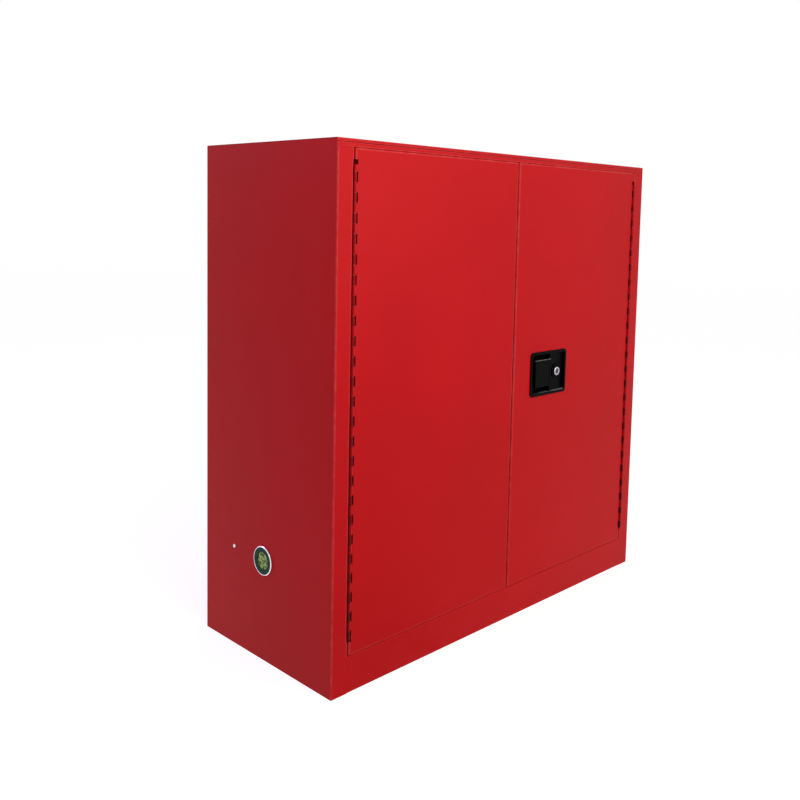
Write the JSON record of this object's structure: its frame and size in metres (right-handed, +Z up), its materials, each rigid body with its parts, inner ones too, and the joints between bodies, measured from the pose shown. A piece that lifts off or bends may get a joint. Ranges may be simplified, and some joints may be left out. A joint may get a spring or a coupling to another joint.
{
  "type": "flammable safety cabinet",
  "caption": "Floor-standing double-walled steel safety cabinet for flammable liquids, with flush hinged doors, a flush paddle handle with a rod latch, screened vents and a shelf.",
  "frame": {"origin": "on the floor, under the middle of the cabinet", "axes": "+Z up, the doors face -Y, and +X is to the right of someone who stands in front of the doors"},
  "size_m": [1.098, 0.4598, 1.12],
  "materials": {
    "red_paint": "satin powder coat",
    "black_plastic": "satin moulding",
    "chrome_metal": "polished",
    "zinc_metal": "zinc plated",
    "brass_mesh": "fine woven mesh",
    "green_plastic": "satin moulding"
  },
  "bodies": {
    "cabinet": {"left_side_panel": "red_paint", "right_side_panel": "red_paint", "top_panel": "red_paint", "base_panel": "red_paint", "back_panel": "red_paint", "left_liner": "red_paint", "right_liner": "red_paint", "top_liner": "red_paint", "back_liner": "red_paint", "sump_pan": "red_paint", "top_strike": "zinc_metal", "bottom_strike": "zinc_metal", "left_hinge_frame_leaf": "red_paint", "left_hinge_pin": "zinc_metal", "right_hinge_frame_leaf": "red_paint", "right_hinge_pin": "zinc_metal", "left_vent_tube": "chrome_metal", "left_vent_mesh": "brass_mesh", "left_vent_ring": "green_plastic", "left_vent_nut": "zinc_metal", "right_vent_tube": "chrome_metal", "right_vent_mesh": "brass_mesh", "right_vent_ring": "green_plastic", "right_vent_nut": "zinc_metal", "earth_screw": "zinc_metal", "earth_nut": "zinc_metal", "left_front_shelf_strip": "zinc_metal", "left_front_shelf_clip": "zinc_metal", "left_rear_shelf_strip": "zinc_metal", "left_rear_shelf_clip": "zinc_metal", "right_front_shelf_strip": "zinc_metal", "right_front_shelf_clip": "zinc_metal", "right_rear_shelf_strip": "zinc_metal", "right_rear_shelf_clip": "zinc_metal"},
    "left_door": {"left_door_outer_pan": "red_paint", "left_door_inner_pan": "red_paint", "left_hinge_door_leaf": "red_paint", "centre_strike": "zinc_metal"},
    "right_door": {"right_door_outer_pan": "red_paint", "right_door_inner_pan": "red_paint", "right_hinge_door_leaf": "red_paint", "top_rod_guide": "zinc_metal", "bottom_rod_guide": "zinc_metal", "centre_bolt_guide": "zinc_metal", "handle_housing": "black_plastic", "paddle_pin": "zinc_metal", "lock_cylinder": "chrome_metal", "crank_pivot": "zinc_metal"},
    "paddle": {"handle_paddle": "black_plastic"},
    "key_plug": {"lock_plug": "chrome_metal", "lock_cam": "zinc_metal"},
    "crank": {"latch_crank": "zinc_metal"},
    "top_rod": {"top_rod": "zinc_metal"},
    "bottom_rod": {"bottom_rod": "zinc_metal"},
    "centre_bolt": {"centre_bolt": "zinc_metal"},
    "shelf": {"shelf": "zinc_metal"}
  },
  "joints": [
    {"name": "left_door_hinge", "type": "hinge", "parent": "cabinet", "child": "left_door", "pos_m": [-0.50145, -0.2269, 0.594], "axis": [0, 0, -1], "range_deg": [0, 180]},
    {"name": "right_door_hinge", "type": "hinge", "parent": "cabinet", "child": "right_door", "pos_m": [0.50145, -0.2269, 0.594], "axis": [0, 0, 1], "range_deg": [0, 180]},
    {"name": "top_rod_slide", "type": "slide", "parent": "right_door", "child": "top_rod", "axis": [0, 0, -1], "range_m": [0, 0.0119], "stiffness_N_per_m": 100, "springref_m": -0.018},
    {"name": "bottom_rod_slide", "type": "slide", "parent": "right_door", "child": "bottom_rod", "axis": [0, 0, 1], "range_m": [0, 0.01199]},
    {"name": "centre_bolt_slide", "type": "slide", "parent": "right_door", "child": "centre_bolt", "axis": [1, 0, 0], "range_m": [0, 0.01199]},
    {"name": "paddle_hinge", "type": "hinge", "parent": "right_door", "child": "paddle", "pos_m": [0.15, -0.2229, 0.593], "axis": [0, 0, 1], "range_deg": [0, 38]},
    {"name": "crank_turn", "type": "hinge", "parent": "right_door", "child": "crank", "pos_m": [0.135, -0.2259, 0.593], "axis": [0, 1, 0], "range_deg": [0, 40.2]},
    {"name": "key_turn", "type": "hinge", "parent": "right_door", "child": "key_plug", "pos_m": [0.178, -0.2259, 0.593], "axis": [0, 1, 0], "range_deg": [0, 90]},
    {"name": "shelf_lift", "type": "slide", "parent": "cabinet", "child": "shelf", "axis": [0, 0, 1], "range_m": [0, 0.04]}
  ],
  "couplings": [
    {"joint": "bottom_rod_slide", "follows": "top_rod_slide", "ratio": 1},
    {"joint": "centre_bolt_slide", "follows": "top_rod_slide", "ratio": 1},
    {"joint": "paddle_hinge", "follows": "top_rod_slide", "rad_per_m": 55.404},
    {"joint": "crank_turn", "follows": "top_rod_slide", "rad_per_m": 58.32}
  ]
}
